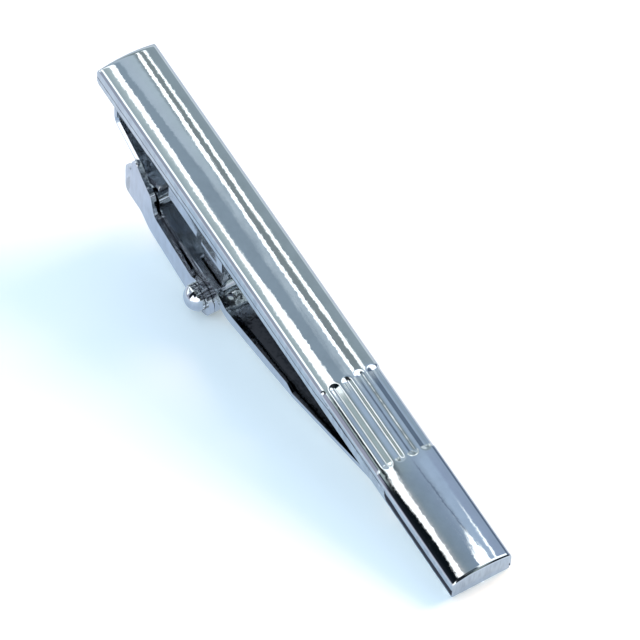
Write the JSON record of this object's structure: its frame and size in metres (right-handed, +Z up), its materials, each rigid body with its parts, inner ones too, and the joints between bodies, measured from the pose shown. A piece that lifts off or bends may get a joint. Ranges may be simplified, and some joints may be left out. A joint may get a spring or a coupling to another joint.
{
  "type": "tie clip",
  "caption": "Slim crowned metal tie clip with fluted band, closed rear loop spring and a pivoting thumb lever that opens a long toothed jaw.",
  "frame": {"origin": "centre of the footprint, on the surface that the clip lies on: the lever's ears and the bar's front lower edge touch z = 0", "axes": "+X along the bar towards its front end and the jaw's tip, +Y across the bar, +Z up, the dress face on top"},
  "size_m": [0.059, 0.0098, 0.0179],
  "materials": {
    "face_chrome": "mirror polished, slightly hand-worn",
    "back_chrome": "polished",
    "bracket_chrome": "plated stamping",
    "lever_chrome": "plated stamping, polished outside",
    "arm_chrome": "plated stamping",
    "pin_chrome": "polished domed heads",
    "spring_chrome": "plated spring strip"
  },
  "bodies": {
    "bar": {"face_shell": "face_chrome", "back_plate": "back_chrome", "hinge_bracket": "bracket_chrome", "leaf_spring": "spring_chrome"},
    "clamp": {"thumb_lever": "lever_chrome", "jaw_arm": "arm_chrome", "pivot_pin": "pin_chrome"}
  },
  "joints": [
    {"name": "jaw_hinge", "type": "hinge", "parent": "bar", "child": "clamp", "pos_m": [-0.01321, 0, 0.00195], "axis": [0, 1, 0], "range_deg": [0, 12], "stiffness_Nm_per_rad": 0.1, "springref_deg": -28.65, "deforming": ["leaf_spring"]}
  ]
}
